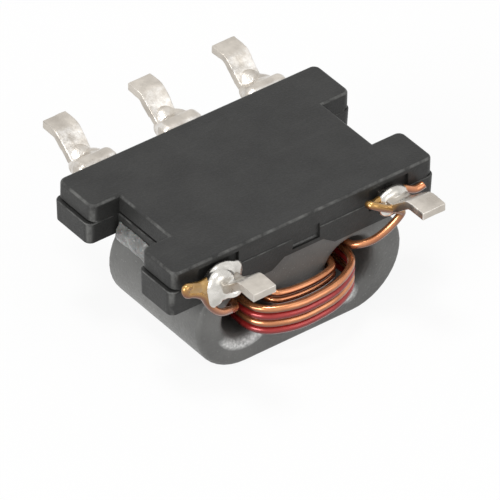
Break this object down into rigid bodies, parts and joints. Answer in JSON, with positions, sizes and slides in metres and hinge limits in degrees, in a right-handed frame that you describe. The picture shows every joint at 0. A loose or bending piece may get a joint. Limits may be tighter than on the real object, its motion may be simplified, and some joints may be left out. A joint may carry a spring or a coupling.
{
  "type": "rf balun transformer",
  "caption": "Surface-mount RF balun: two-hole ferrite core wound with enamelled wire under a moulded plate with gull-wing leads, shown feet up.",
  "frame": {"origin": "on the core's flat rest face, midway between the foot tips of the two lead rows and on the middle lead", "axes": "+Z from the core towards the solder feet, +Y towards the row of three leads, X along the lead rows"},
  "size_m": [0.004, 0.0042, 0.0019],
  "materials": {
    "plate_plastic": "moulded thermoset, dark grey, satin",
    "ferrite": "sintered ferrite, tumbled, satin grey",
    "enamel_natural": "enamelled copper wire, clear natural enamel",
    "enamel_red": "enamelled copper wire, red enamel",
    "adhesive": "cured adhesive, grey, filled",
    "terminal_tin": "stamped strip, tin plated, satin",
    "solder": "solder, bright"
  },
  "bodies": {
    "root": {"base_plate": "plate_plastic", "ferrite_core": "ferrite", "terminal_back_left": "terminal_tin", "terminal_back_middle": "terminal_tin", "terminal_back_right": "terminal_tin", "terminal_front_left": "terminal_tin", "terminal_front_right": "terminal_tin", "primary_winding": "enamel_natural", "secondary_winding_a": "enamel_red", "secondary_winding_b": "enamel_natural", "solder_back_left": "solder", "solder_back_middle": "solder", "solder_back_right": "solder", "solder_front_left": "solder", "solder_front_right": "solder", "adhesive_left": "adhesive", "adhesive_right": "adhesive"}
  },
  "joints": []
}
